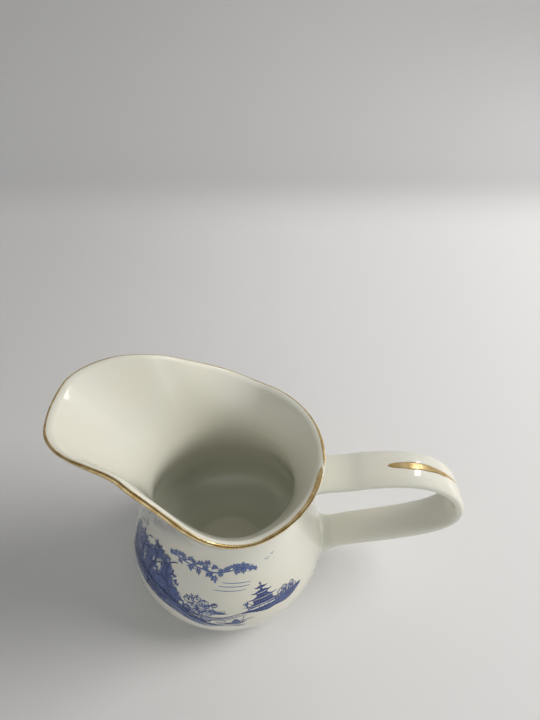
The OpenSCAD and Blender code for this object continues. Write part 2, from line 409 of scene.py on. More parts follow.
# merges the poles, then turns every face outwards
def tidyMesh(mesh):
    work = bmesh.new()
    work.from_mesh(mesh)
    bmesh.ops.remove_doubles(work, verts=work.verts, dist=2e-7)
    bmesh.ops.dissolve_degenerate(work, edges=work.edges, dist=1e-7)
    bmesh.ops.recalc_face_normals(work, faces=work.faces)
    for face in work.faces:
        face.smooth = True
    work.to_mesh(mesh)
    work.free()
    return mesh


def newPiece(name, mesh, material):
    mesh.materials.clear()
    mesh.materials.append(material)
    piece = bpy.data.objects.new(name, mesh)
    bpy.context.scene.collection.objects.link(piece)
    return piece


def handOver(piece, slot, *nodes):
    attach(piece, "root")
    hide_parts(*nodes)


bodyLook = {
    "columns": 240,
    "outerSteps": (20, 34),
    "flareSteps": 30,
    "lipSteps": 16,
    "innerSteps": (18, 28),
    "underRings": (0, 8, 16, 19.9),
    "floorRings": (11, 10, 8, 4, 0),
    "footPoolShade": 0.8,  # glaze gathered above the foot and painted shade under the body, to this height over it
    "footPoolShadeHigh": 2.6,
    "wellPoolShade": 0.9,  # and inside, round the flat middle of the floor: glaze gathered in the corner and painted shade fading up the inside wall
    "wellPoolShadeFrom": 10.4,
    "wellPoolShadeTo": 12.2,
    "wellPoolShadeHigh": 26,
}


def makeBody():
    look, wall = bodyLook, jug["wall"]
    angle = np.arange(look["columns"]) * 360 / look["columns"]
    rows = [ringPoints(angle, r, jug["footZ"]) for r in (*look["underRings"], jug["seatR"])]
    rows += bowlRings(angle, jug["seatR"], jug["bellyR"], jug["footZ"], jug["waistR"], look["outerSteps"])
    steps = look["flareSteps"]
    rows += [flareRing(angle, k / steps, 0) for k in range(1, steps + 1)]
    rows += [lipRing(angle, 180 * k / look["lipSteps"]) for k in range(1, look["lipSteps"])]
    for k in range(steps, 0, -1):
        rows.append(flareRing(angle, k / steps, wall + (jug["lip"] - wall) * k / steps))
    insideFrom = len(rows) * len(angle)
    inner = bowlRings(angle, jug["wellR"], jug["bellyR"] - wall, jug["floorZ"], jug["waistR"] - wall,
                      look["innerSteps"])
    rows += inner[::-1]
    rows += [ringPoints(angle, r, jug["floorZ"]) for r in (jug["wellR"], *look["floorRings"])]
    points = np.concatenate(rows)
    inside = np.arange(len(points)) >= insideFrom
    reach, height = np.hypot(points[:, 0], points[:, 1]), points[:, 2]
    # painted shade with gathered glaze: darker low on the outside and inside, fading up the inner wall, but
    # not on the flat middle of the floor
    foot = look["footPoolShade"] * (1 - ease((height - jug["footZ"]) / look["footPoolShadeHigh"]))
    well = look["wellPoolShade"] * ramp(reach, look["wellPoolShadeFrom"], look["wellPoolShadeTo"])
    well *= 1 - ease((height - jug["floorZ"]) / look["wellPoolShadeHigh"])
    mesh = tidyMesh(skinMesh("body", rows, attributes={"pool": np.where(inside, well, foot)}))
    return newPiece("jugBody", mesh, glaze)


body = makeBody()
work = bmesh.new()
work.from_mesh(body.data)
wallTree = BVHTree.FromBMesh(work)
work.free()
handOver(body, "glazed_porcelain", "body")
print("body made,", len(body.data.polygons), "faces")


# nearest place on the wall, its normal, and how far outside it a point is, all in millimetres
def nearWall(point):
    place, normal, _, _ = wallTree.find_nearest(Vector(point) * 0.001)
    place = np.array(place) * 1000
    normal = np.array(normal)
    return place, normal, float((np.array(point) - place) @ normal)


footLook = {
    "outerR": 21.5,
    "width": 3.2,
    "columns": 180,
    "corner": 0.5,
    "flatFrom": 1.2,  # from each edge to the face that it stands on
    "sunk": 0.15,  # how far it runs into the bowl
    "drift": 0.025,  # out of round, above that face
}


def makeFoot():
    angle = np.arange(footLook["columns"]) * 360 / footLook["columns"]
    outer, inner = footLook["outerR"], footLook["outerR"] - footLook["width"]
    corner, sunk = footLook["corner"], footLook["sunk"]
    top = jug["footZ"] + sunk
    profile = [(inner - sunk, top), (inner, 1.4), (inner + 0.12, 0.75)]
    for a in np.radians([20, 45, 70, 90]):
        profile.append((inner + corner * (1 - math.cos(a)), corner * (1 - math.sin(a))))
    profile += [(inner + footLook["flatFrom"], 0.0), (outer - footLook["flatFrom"], 0.0)]
    for a in np.radians([0, 20, 45, 70]):
        profile.append((outer - corner * (1 - math.sin(a)), corner * (1 - math.cos(a))))
    profile += [(outer - 0.02, 0.8), (outer, 1.4), (outer + sunk, top)]
    rows = []
    for r, z in profile:
        drift = footLook["drift"] * sinDegrees(angle * 3 + 40) * (z > 0.2)
        rows.append(ringPoints(angle, r + drift, z))
    return newPiece("footRing", tidyMesh(skinMesh("foot ring", rows, aroundRows=True)), clay)


foot = makeFoot()
handOver(foot, "bare_clay", "foot_ring")
print("foot ring made")


strap = {
    "out": 40.8,  # past the belly, at the middle of its thickness
    "width": 12.4,
    "taper": 0.14,
    "thick": 3.2,
    "archDrop": 7.1,
    "upperRootUp": 2.7,
    "rootDepth": 3.0,
    "rootDown": 1.0,  # below the fullest part of the belly
    "endDown": 0.6,  # and its buried end below that
    "side": 5.0,  # the section is a rounded oblong with these two powers
    "face": 2.2,
    "parts": 14,
    # the middle line, as (share of the reach past the belly, share of the rise from root to arch)
    "shape": [
        (0.12, 0.95), (0.28, 0.985), (0.46, 1.0), (0.63, 0.985), (0.78, 0.92), (0.91, 0.8), (0.99, 0.62),
        (0.975, 0.46), (0.87, 0.34), (0.7, 0.25), (0.48, 0.175), (0.28, 0.12), (0.13, 0.07),
    ],
    "outlinePoints": 48,
    "sunk": 0.45,  # how far each end runs into the wall
}


def smoothPath(points, parts):
    p = [np.array(q, float) for q in points]
    line = []
    for k in range(len(p) - 1):
        a, b, c, d = p[max(k - 1, 0)], p[k], p[k + 1], p[min(k + 2, len(p) - 1)]
        for s in range(parts):
            t = s / parts
            line.append(0.5 * (2 * b + (c - a) * t + (2 * a - 5 * b + 4 * c - d) * t * t
                               + (3 * b - a - 3 * c + d) * t ** 3))
    return np.array(line + [p[-1]])


def strapPath():
    arch = jug["waistZ"] + jug["backRise"] - strap["archDrop"]
    root = jug["bellyZ"] - strap["rootDown"]
    points = [(jug["waistR"] - strap["rootDepth"] / 2, jug["waistZ"] + strap["upperRootUp"])]
    for reach, rise in strap["shape"]:
        points.append((jug["bellyR"] + strap["out"] * reach, root + (arch - root) * rise))
    points.append((jug["bellyR"] - strap["rootDepth"], root - strap["endDown"]))
    return smoothPath(points, strap["parts"])


# how far the strap's face stands from its middle at this share of its half width
def faceAt(share):
    return strap["thick"] / 2 * max(0.0, 1 - abs(share) ** strap["side"]) ** (1 / strap["face"])


# outline across the strap as (share of the half width, millimetres outwards), thin at its edges
def strapOutline():
    points = []
    for turn in np.radians(np.arange(strap["outlinePoints"]) * 360 / strap["outlinePoints"]):
        x, z = math.cos(turn), math.sin(turn)
        share = math.copysign(abs(x) ** (2 / strap["side"]), x)
        points.append((share, math.copysign(strap["thick"] / 2 * abs(z) ** (2 / strap["face"]), z)))
    return np.array(points)


path = strapPath()
step = np.gradient(path, axis=0)
step /= np.linalg.norm(step, axis=1)[:, None]
outward = np.stack([-step[:, 1], step[:, 0]], 1)
outline = strapOutline()


def halfWidth(row):
    return strap["width"] / 2 * (1 + strap["taper"] * (0.5 - row / (len(path) - 1)))


# a point of the strap: row may fall between two rows of the path, share is of the half width
def onStrap(row, share, off):
    low = int(min(max(math.floor(row), 0), len(path) - 2))
    f = row - low
    middle = path[low] * (1 - f) + path[low + 1] * f
    away = outward[low] * (1 - f) + outward[low + 1] * f
    return np.array([middle[0] + away[0] * off, share * halfWidth(row), middle[1] + away[1] * off])


# row at which one rail of the strap is this deep inside the wall, near its upper or lower end
def rowAtWall(point, depth, upper):
    last, span = len(path) - 1, 3 * strap["parts"]
    rows = np.arange(span) if upper else np.arange(last, last - span, -1)
    before = None
    for row in rows:
        gap = nearWall(onStrap(row, *point))[2]
        if before is not None and before[1] < -depth <= gap:
            return before[0] + (row - before[0]) * (-depth - before[1]) / (gap - before[1])
        before = (row, gap)
    return float(rows[0])


def makeStrap():
    starts, ends = ([rowAtWall(p, strap["sunk"], upper) for p in outline] for upper in (True, False))
    rows = []
    for share in np.arange(len(path)) / (len(path) - 1):
        rails = zip(starts, ends, outline)
        rows.append(np.array([onStrap(a + (b - a) * share, *p) for a, b, p in rails]))
    caps = [row * 0.02 + row.mean(0) * 0.98 for row in (rows[0], rows[-1])]
    mesh = skinMesh("strap", closeEnds([caps[0], *rows, caps[1]]))
    mesh.attributes.new("pool", "FLOAT", "POINT")
    return newPiece("strapHandle", tidyMesh(mesh), glaze)


handle = makeStrap()
handOver(handle, "glazed_porcelain", "handle")
print("strap made")


lutingLook = {
    # length along the strap, more of it underneath, then length over the wall, with more of
    # that downwards and sideways
    "upper": {"along": 6.5, "under": 3.0, "spread": 1.4, "down": 3.2, "side": 3.6},
    "lower": {"along": 5.5, "under": 3.4, "spread": 1.5, "down": 7.6, "side": 3.2},
    "steps": 14,
    "sunk": (0.05, 0.06),  # how far its edges lie in the strap and in the wall
    "corner": 0.02,  # how far the corner that the hollow bends round stands off both
    "depth": 0.4,
    # how dark the middle of the hollow turns: glaze gathered there and painted shade in the crease
    "pool": 0.55,
}


# slip smoothed from the strap onto the wall, as a hollow curve all round the strap and
# deepest under it
def makeLuting(end):
    look = lutingLook[end]
    sunkInStrap, sunkInWall = lutingLook["sunk"]
    upper = end == "upper"
    away = 1 if upper else -1
    middleRow = rowAtWall((0, 0), 0, upper)
    rowLength = np.linalg.norm(onStrap(middleRow + 0.5, 0, 0) - onStrap(middleRow - 0.5, 0, 0))
    rails, pool = [], []
    for k, point in enumerate(outline):
        at = rowAtWall(point, 0, upper)
        meet = onStrap(at, *point)
        before, after = outline[k - 1], outline[(k + 1) % len(outline)]
        along = onStrap(at, *after) - onStrap(at, *before)
        side = np.cross(along, onStrap(at + away, *point) - meet)
        side /= np.linalg.norm(side)
        if side @ (meet - onStrap(at, 0, 0)) < 0:
            side = -side
        normal = nearWall(meet)[1]
        slide = side - (side @ normal) * normal
        slide /= np.linalg.norm(slide)
        below = max(0, -slide[2]) ** 2
        ahead = onStrap(at + away * (look["along"] + look["under"] * below) / rowLength, *point)
        reach = look["spread"] + look["down"] * below + look["side"] * slide[1] ** 2
        foot = nearWall(meet + slide * reach)[0]
        start = ahead - side * sunkInStrap
        finish = foot - nearWall(foot)[1] * sunkInWall
        bend = meet + (side + normal) * lutingLook["corner"]
        rail = []
        for s in np.linspace(0, 1, lutingLook["steps"] + 1):
            rail.append((1 - s) ** 2 * start + 2 * s * (1 - s) * bend + s * s * finish)
            # painted shade with gathered glaze, darkest halfway round the hollow
            pool.append(lutingLook["pool"] * math.sin(math.pi * s))
        rail.append(meet - (normal + side) * lutingLook["depth"])
        pool.append(0.0)
        rails.append(np.array(rail))
    mesh = skinMesh(end + "Luting", rails, aroundRows=True, attributes={"pool": pool})
    return newPiece(end + "Luting", tidyMesh(mesh), glaze)


for end in ("upper", "lower"):
    handOver(makeLuting(end), "glazed_porcelain", end + "_luting")
print("luted joints made")


lineLook = {
    "across": 8,
    "edge": 0.012,  # how far its edges and its back lie under the glaze
    "back": 0.05,
}


# a laid line in section, as (share across it, lift off the glaze): its face, then its back
def lineSection(thick):
    face = []
    for v in np.linspace(0, 1, lineLook["across"] + 1):
        face.append((v, thick * math.sqrt(max(0, math.sin(math.pi * v))) - lineLook["edge"]))
    return face + [(v, -lineLook["back"]) for v in (0.98, 0.5, 0.02)]


# each wave is (height, how many in a full turn, phase)
def waves(angle, parts):
    return sum(height * sinDegrees(angle * count + phase) for height, count, phase in parts)


rimLook = {
    "samples": 900,
    "start": -9.0,  # round from the handle
    "end": 350.5,
    "startRun": 50,
    "taper": 7,
    "middle": 58,  # degrees over the lip from its outer edge
    "middleNear": 4,
    "middleStart": 18,
    "turnIn": 50,
    "turnInFrom": 300,
    "turnInTo": 350,
    "halfWide": 42,
    "wideNear": 9,
    "thick": 0.05,
    "endWide": 0.12,  # share of the width left at its two ends
    "startLess": 0.35,  # share of the width taken off while the brush is filling
    "sway": ((2.2, 5, 30), (1.2, 13, 0)),
    "swell": ((0.07, 7, 80), (0.05, 17, 10)),
}


# hand-laid line on the lip: low on the outside for most of the way, then over the top and in
# towards the handle
def makeRimGold():
    look = rimLook
    angle = np.linspace(look["start"], look["end"], look["samples"])
    near = -sinDegrees(angle)
    starting = 1 - ramp(angle, look["start"], look["start"] + look["startRun"])
    middle = look["middle"] + look["middleNear"] * near + look["middleStart"] * starting
    middle += look["turnIn"] * ramp(angle, look["turnInFrom"], look["turnInTo"]) + waves(angle, look["sway"])
    wide = (look["halfWide"] + look["wideNear"] * near) * (1 + waves(angle, look["swell"]))
    toEnd = np.minimum(angle - look["start"], look["end"] - angle)
    wide *= look["endWide"] + (1 - look["endWide"]) * np.sqrt(ease(toEnd / look["taper"]))
    wide *= 1 - look["startLess"] * starting
    steps = np.linalg.norm(np.diff(lipRing(angle, 60), axis=0), axis=1)
    run = np.concatenate([[0], np.cumsum(steps)])
    columns, laid = [], []
    for v, lift in lineSection(look["thick"]):
        columns.append(lipRing(angle, middle + wide * (2 * v - 1), lift))
        laid.append(np.stack([run, np.full_like(run, v)], 1))
    laid = np.stack(laid, 1)
    rows = closeEnds(list(np.stack(columns, 1)))
    mesh = skinMesh("rim gold", rows, uv=np.concatenate([laid[:1], laid, laid[-1:]]))
    return newPiece("rimGold", tidyMesh(mesh), gold)


strokeLook = {
    "from": 48.3,
    "to": 71.8,
    "wide": 2.75,
    "thick": 0.06,
    "samples": 90,
    "pitch": 0.3,
    "press": (0.55, 0.9),  # how early it is widest, how blunt its ends are
    "ripple": (0.05, 31),
    "sway": (0.12, 5),
    "drift": 0.25,
    "fullAt": 0.4,  # half width past which it is laid at its full thickness
}


# one stroke of the brush on the top of the strap, pressed down early and drawn out to a tail
def makeStrapGold():
    look = strokeLook
    early, blunt = look["press"]
    ripple, ripples = look["ripple"]
    sway, sways = look["sway"]
    reach = np.array([onStrap(k, 0, strap["thick"] / 2)[0] for k in range(len(path))])
    rising = np.arange(reach.argmax() + 1)
    firstRow, lastRow = np.interp((look["from"], look["to"]), reach[rising], rising)
    rows, laid = [], []
    for k in range(look["samples"] + 1):
        gone = k / look["samples"]
        row = firstRow + (lastRow - firstRow) * gone
        half = look["wide"] / 2 * math.sin(math.pi * min(0.999, max(0.001, gone)) ** early) ** blunt
        half *= 1 + ripple * math.sin(gone * ripples)
        drift = sway * math.sin(gone * sways) + look["drift"] * gone
        ring = []
        for v, lift in lineSection(look["thick"] * min(1, half / look["fullAt"])):
            share = (drift + half * (2 * v - 1)) / halfWidth(row)
            ring.append(onStrap(row, share, faceAt(share) + lift))
            laid.append((look["pitch"] * k, v))
        rows.append(np.array(ring))
    width = len(ring)
    mesh = skinMesh("strap gold", closeEnds(rows), uv=laid[:width] + laid + laid[-width:])
    return newPiece("strapGold", tidyMesh(mesh), gold)


handOver(makeRimGold(), "gold", "rim_gilding")
handOver(makeStrapGold(), "gold", "handle_gilding")
print("gold laid")


# Everything blue is drawn flat first, in millimetres: x runs round the belly from the front of the
# jug, y is the height above the table. The brushwork tree turns the drawing into strokes, filled
# shapes and leaves, and wrapping then lays it on the wall.
brushLook = {
    "wobble": 0.35,
    "grain": 1.6,
    "cuts": 3,
    "leafSpread": 0.3,
    "seed": 11,
    "degreesPerMm": 2.0,
    "lift": 0.014,
    "layer": 0.00012,  # each later point lies this much higher, so no two strokes share a plane
    "pointPitch": 0.35,
    "washPitch": 0.4,
    "washTone": 0.25,
}


def makeBrushTree():
    tree = bpy.data.node_groups.new("brushwork", "GeometryNodeTree")
    inputs = (
        ("Drawing", "NodeSocketGeometry", None),
        ("Wash", "NodeSocketObject", None),
        ("Wobble", "NodeSocketFloat", brushLook["wobble"]),
        ("Grain", "NodeSocketFloat", brushLook["grain"]),
        ("Cuts", "NodeSocketInt", brushLook["cuts"]),
        ("Leaf spread", "NodeSocketFloat", brushLook["leafSpread"]),
        ("Seed", "NodeSocketInt", brushLook["seed"]),
        ("Ink", "NodeSocketMaterial", None),
    )
    for name, kind, value in inputs:
        socket = tree.interface.new_socket(name, in_out="INPUT", socket_type=kind)
        if value is not None:
            socket.default_value = value
    tree.interface.new_socket("Brushwork", in_out="OUTPUT", socket_type="NodeSocketGeometry")
    g = Graph(tree)
    given = g.add("NodeGroupInput")

    def read(name):
        return g.add("GeometryNodeInputNamedAttribute", {"data_type": "FLOAT"}, {"Name": name})

    leafSize = read("leaf")
    parts = g.add("GeometryNodeSeparateGeometry", {"domain": "POINT"},
                  {"Geometry": g.also(given, "Drawing"), "Selection": leafSize.above(0.001)})
    lines = g.also(parts, "Inverted")
    curves = g.add("GeometryNodeMeshToCurve", None, {"Mesh": lines})
    closed = g.add("GeometryNodeInputSplineCyclic")
    kinds = g.add("GeometryNodeSeparateGeometry", {"domain": "CURVE"},
                  {"Geometry": curves, "Selection": closed})

    # open lines become flat ribbons whose width trembles a little
    place = g.add("GeometryNodeInputPosition")
    tremble = g.add("ShaderNodeTexNoise", {"noise_dimensions": "4D"},
                    {"Vector": place, "Scale": g.also(given, "Grain"), "W": g.also(given, "Seed")})
    width = read("halfWidth") * (1 + (tremble - 0.5) * 2 * g.also(given, "Wobble"))
    upright = g.add("GeometryNodeSetCurveNormal", {"mode": "Z_UP"}, {"Curve": g.also(kinds, "Inverted")})
    flatBrush = g.add("GeometryNodeCurvePrimitiveLine", None, {"Start": (-1, 0, 0), "End": (1, 0, 0)})
    ribbons = g.add("GeometryNodeCurveToMesh", None,
                    {"Curve": upright, "Profile Curve": flatBrush, "Scale": width})

    # closed lines are filled, and take their tone from the line round them
    filled = g.add("GeometryNodeFillCurve", None, {"Curve": g.also(kinds, "Selection")})
    filled = g.add("GeometryNodeSubdivideMesh", None, {"Mesh": filled, "Level": g.also(given, "Cuts")})
    nearest = g.add("GeometryNodeSampleNearest", {"domain": "POINT"}, {"Geometry": lines})
    onPoints = {"data_type": "FLOAT", "domain": "POINT"}
    for name in ("tone", "order"):
        sample = g.add("GeometryNodeSampleIndex", onPoints,
                       {"Geometry": lines, "Value": read(name), "Index": nearest})
        filled = g.add("GeometryNodeStoreNamedAttribute", onPoints,
                       {"Geometry": filled, "Name": name, "Value": sample})

    # a leaf is a small pointed oval that starts at its own point
    oval = g.add("GeometryNodeMeshCircle", {"fill_type": "NGON"}, {"Vertices": 8, "Radius": 1.0})
    spot = g.add("ShaderNodeSeparateXYZ", None, {0: place})
    pointed = g.add("ShaderNodeCombineXYZ", None,
                    {0: spot + 1, 1: g.also(spot, "Y") * (1 - 0.4 * spot), 2: 0.0})
    oval = g.add("GeometryNodeSetPosition", None, {"Geometry": oval, "Position": pointed})
    spread = g.also(given, "Leaf spread")
    vary = g.add("FunctionNodeRandomValue", {"data_type": "FLOAT"},
                 {2: 1 - spread, 3: 1 + spread, "Seed": g.also(given, "Seed")}, 1)
    long = leafSize * vary
    size = g.add("ShaderNodeCombineXYZ", None, {0: long, 1: long * 0.45, 2: 1.0})
    turn = g.add("ShaderNodeCombineXYZ", None, {0: 0.0, 1: 0.0, 2: read("turn")})
    leaves = g.add("GeometryNodeInstanceOnPoints", None,
                   {"Points": parts, "Instance": oval, "Rotation": turn, "Scale": size})
    leaves = g.add("GeometryNodeRealizeInstances", None, {"Geometry": leaves})

    wash = g.add("GeometryNodeObjectInfo", {"transform_space": "ORIGINAL"},
                 {"Object": g.also(given, "Wash")}, "Geometry")
    join = tree.nodes.new("GeometryNodeJoinGeometry")
    for layer in (wash, filled, ribbons, leaves):
        tree.links.new(layer.socket, join.inputs[0])
    whole = g.add("GeometryNodeRealizeInstances", None, {"Geometry": Wire(g, join.outputs[0])})
    whole = g.add("GeometryNodeSetMaterial", None, {"Geometry": whole, "Material": g.also(given, "Ink")})
    done = tree.nodes.new("NodeGroupOutput")
    tree.links.new(whole.socket, done.inputs[0])
    return tree


brushTree = makeBrushTree()


class Drawing:
    def __init__(self, seed=0):
        self.rng = random.Random(seed)
        self.points, self.edges, self.blobs = [], [], []
        self.values = {"halfWidth": [], "tone": [], "leaf": [], "turn": [], "order": []}

    def put(self, xy, half, tone, leaf=0.0, turn=0.0):
        self.points.append((*xy, 0.0))
        order = len(self.points) * brushLook["layer"]
        for key, value in zip(self.values, (half, tone, leaf, turn, order)):
            self.values[key].append(value)
        return len(self.points) - 1

    # a stroke through the points, narrowed to the given shares of its width at each end
    def line(self, points, width, tone, ends=(0.5, 0.15)):
        parts = 3
        if len(points) > 2:
            span = sum(math.dist(a, b) for a, b in zip(points, points[1:]))
            parts = max(2, round(span / (len(points) - 1) / brushLook["pointPitch"]))
        points = smoothPath(points, parts)
        for k, xy in enumerate(points):
            gone = k / (len(points) - 1)
            coming = ends[0] + (1 - ends[0]) * math.sin(min(gone / 0.3, 1) * math.pi / 2)
            going = ends[1] + (1 - ends[1]) * math.sin(min((1 - gone) / 0.5, 1) * math.pi / 2)
            here = self.put(xy, width / 2 * min(coming, going), tone)
            if k > 0:
                self.edges.append((here - 1, here))

    # a filled shape, through its points or straight between them
    def shape(self, points, tone, curved=False):
        if curved:
            points = smoothPath([*points, points[0]], 4)[:-1]
        first, count = len(self.points), len(points)
        for xy in points:
            self.put(xy, 0.1, tone)
        self.edges += [(first + k, first + (k + 1) % count) for k in range(count)]

    def leafAt(self, x, y, size, turn, tone):
        self.put((x, y), 0.0, tone, size / 2, turn)

    # leaves scattered over an oval, all leaning much the same way
    def clump(self, x, y, wide, tall, count, size, tone, lean=90, loose=50):
        rng = self.rng
        for k in range(count):
            a, r = rng.random() * math.tau, math.sqrt(rng.random())
            self.leafAt(x + wide * r * math.cos(a), y + tall * r * math.sin(a),
                        size * (0.7 + 0.6 * rng.random()),
                        math.radians(lean + (rng.random() - 0.5) * 2 * loose),
                        tone + (rng.random() - 0.5) * 0.3)

    # leaves round one point, like a small flower head
    def rosette(self, x, y, reach, count, size, tone):
        rng = self.rng
        for k in range(count):
            a = math.tau * (k + rng.random() * 0.5) / count
            self.leafAt(x + reach * 0.3 * math.cos(a), y + reach * 0.3 * math.sin(a),
                        size * (0.8 + 0.4 * rng.random()), a, tone + (rng.random() - 0.5) * 0.25)

    # a soft area of thin colour, or of light where its strength is below nothing
    def blob(self, x, y, wide, tall, turn=0, strength=0.8):
        self.blobs.append((x, y, wide, tall, math.radians(turn), strength))

    def lineMesh(self, name):
        mesh = bpy.data.meshes.new(name)
        mesh.from_pydata(self.points, self.edges, [])
        for key, values in self.values.items():
            setValues(mesh, key, values)
        return mesh

    # the washes as one fine grid, kept only where there is any colour
    def washMesh(self, name, tone):
        b = np.array(self.blobs)
        reach = np.maximum(b[:, 2], b[:, 3]) * 1.3
        low, high = b[:, :2].T - reach, b[:, :2].T + reach
        sides = [np.arange(a.min(), z.max(), brushLook["washPitch"]) for a, z in zip(low, high)]
        gx, gy = np.meshgrid(*sides)
        clear = np.ones_like(gx)
        rub = np.ones_like(gx)
        for x, y, wide, tall, turn, strength in self.blobs:
            dx, dy = gx - x, gy - y
            u = (dx * math.cos(turn) + dy * math.sin(turn)) / wide
            v = (-dx * math.sin(turn) + dy * math.cos(turn)) / tall
            soft = ease((1.2 - np.hypot(u, v)) / 0.75)
            if strength > 0:
                clear *= 1 - strength * soft
            else:
                rub *= 1 + strength * soft
        cover = (1 - clear) * rub
        keep = cover > 0.03
        wanted = keep.copy()
        wanted[:-1] |= keep[1:]
        wanted[:, :-1] |= keep[:, 1:]
        wanted[1:] |= keep[:-1]
        wanted[:, 1:] |= keep[:, :-1]
        index = -np.ones(gx.shape, int)
        index[wanted] = np.arange(wanted.sum())
        faces = []
        for r in range(gx.shape[0] - 1):
            for c in range(gx.shape[1] - 1):
                quad = (index[r, c], index[r, c + 1], index[r + 1, c + 1], index[r + 1, c])
                if min(quad) >= 0:
                    faces.append(quad)
        points = np.stack([gx[wanted], gy[wanted], np.zeros(wanted.sum())], 1)
        mesh = bpy.data.meshes.new(name)
        mesh.from_pydata(points.tolist(), [], faces)
        setValues(mesh, "tone", tone + brushLook["washTone"] * cover[wanted])
        setValues(mesh, "fade", 1 - cover[wanted])
        return mesh


def inputName(tree, name):
    return next(s.identifier for s in tree.interface.items_tree if s.name == name and s.in_out == "INPUT")


# lays a flat drawing on the wall, just clear of it, and keeps the flat place of each corner as a UV map
def wrapMesh(mesh):
    count = len(mesh.vertices)
    flat, order = np.zeros(count * 3), np.zeros(count)
    mesh.vertices.foreach_get("co", flat)
    mesh.attributes["order"].data.foreach_get("value", order)
    flat = flat.reshape(-1, 3)
    corner = np.zeros(len(mesh.loops), np.int32)
    mesh.loops.foreach_get("vertex_index", corner)
    mesh.uv_layers.new(name="sheet").data.foreach_set("uv", (flat[corner, :2] * 0.1).ravel())
    placed = np.zeros_like(flat)
    for k, (x, y, _) in enumerate(flat):
        turn = math.radians(270 + x * brushLook["degreesPerMm"])
        out = Vector((math.cos(turn), math.sin(turn), 0))
        hit, normal, _, _ = wallTree.ray_cast(Vector((0, 0, y * 0.001)) + out * 0.06, -out)
        placed[k] = hit + normal * (brushLook["lift"] + order[k]) * 0.001
    mesh.vertices.foreach_set("co", placed.ravel())
    mesh.update()


# every face of the print looks away from the jug
def faceOut(mesh):
    work = bmesh.new()
    work.from_mesh(mesh)
    work.normal_update()
    for face in work.faces:
        middle = face.calc_center_median()
        if face.normal.dot(Vector((middle.x, middle.y, 0))) < 0:
            face.normal_flip()
        face.smooth = True
    work.to_mesh(mesh)
    work.free()


def brush(name, drawing, node, washTone):
    host = bpy.data.objects.new(name, drawing.lineMesh(name + " lines"))
    wash = bpy.data.objects.new(name + "Wash", drawing.washMesh(name + " wash", washTone))
    for thing in (host, wash):
        bpy.context.scene.collection.objects.link(thing)
    modifier = host.modifiers.new("brushwork", "NODES")
    modifier.node_group = brushTree
    for key, value in (("Wash", wash), ("Ink", cobalt), ("Seed", brushLook["seed"])):
        modifier[inputName(brushTree, key)] = value
    depsgraph = bpy.context.evaluated_depsgraph_get()
    mesh = bpy.data.meshes.new_from_object(host.evaluated_get(depsgraph), preserve_all_data_layers=True,
                                           depsgraph=depsgraph)
    host.modifiers.clear()
    for thing in (host, wash):
        bpy.data.objects.remove(thing)
    wrapMesh(mesh)
    faceOut(mesh)
    handOver(newPiece(name, mesh, cobalt), "cobalt_print", node)
    print(name, "drawn,", len(mesh.polygons), "faces")


groveLook = {
    "seed": 5,
    # masses of leaves, as middle, half width and half height
    "masses": [
        (-36.6, 27.6, 4.2, 3.6), (-31.5, 29.6, 4, 3.2), (-26.3, 29, 4, 3.6), (-22.4, 32.8, 3.2, 3),
        (-18.2, 29.8, 2.8, 3.6), (-34, 24.4, 6, 4.2), (-26, 24, 6, 4.4), (-18, 25, 4.6, 4.4),
        (-14.2, 22.6, 2.9, 2.8), (-20, 21, 7, 2.9), (-32, 20.8, 7, 2.4), (-11.5, 18.9, 4, 1.9),
        (-6.5, 16.2, 3.6, 1.2),
    ],
    "gaps": [(-23.4, 27.6, 0.9, 2.8, 25), (-28.8, 26.5, 0.8, 2.4, 10), (-33, 27.8, 0.8, 2.6, 20)],
    "trunks": [
        ((-38.2, 19), (-37.4, 23.5), (-38.4, 28), (-37, 31.6)),
        ((-31.2, 18.8), (-30.3, 24), (-31.2, 28.6), (-29.4, 32.8)),
        ((-24.6, 18.4), (-25.2, 24), (-23.2, 29), (-22.8, 35)),
        ((-17.6, 17.6), (-16.6, 23), (-18, 28), (-17.2, 32.6)),
    ],
    "twigs": 5,
    "bank": [
        (-40.5, 19.4), (-36, 18.8), (-26.5, 18.3), (-20, 17.8), (-13.5, 16.8), (-9, 15.2), (-5.5, 14.2),
        (-2, 13.4),
    ],
    "bankStrokes": 9,
    "grass": 34,
    # thin shoots that rise past the waist, as foot, top and lean
    "shoots": [
        (-34, 34, 45, -1.2), (-36.4, 33.6, 42.5, -1.6), (-38.6, 33, 41, -1), (-32, 33.6, 40, 0.8),
        (-39.8, 32, 43.6, 1.0),
    ],
    "tufts": [(-35.6, 40.6, 1.6, 1.1), (-23.4, 35.2, 1.8, 1), (-19.2, 33.6, 1.4, 0.9), (-38.5, 37.4, 1.4, 1)],
}


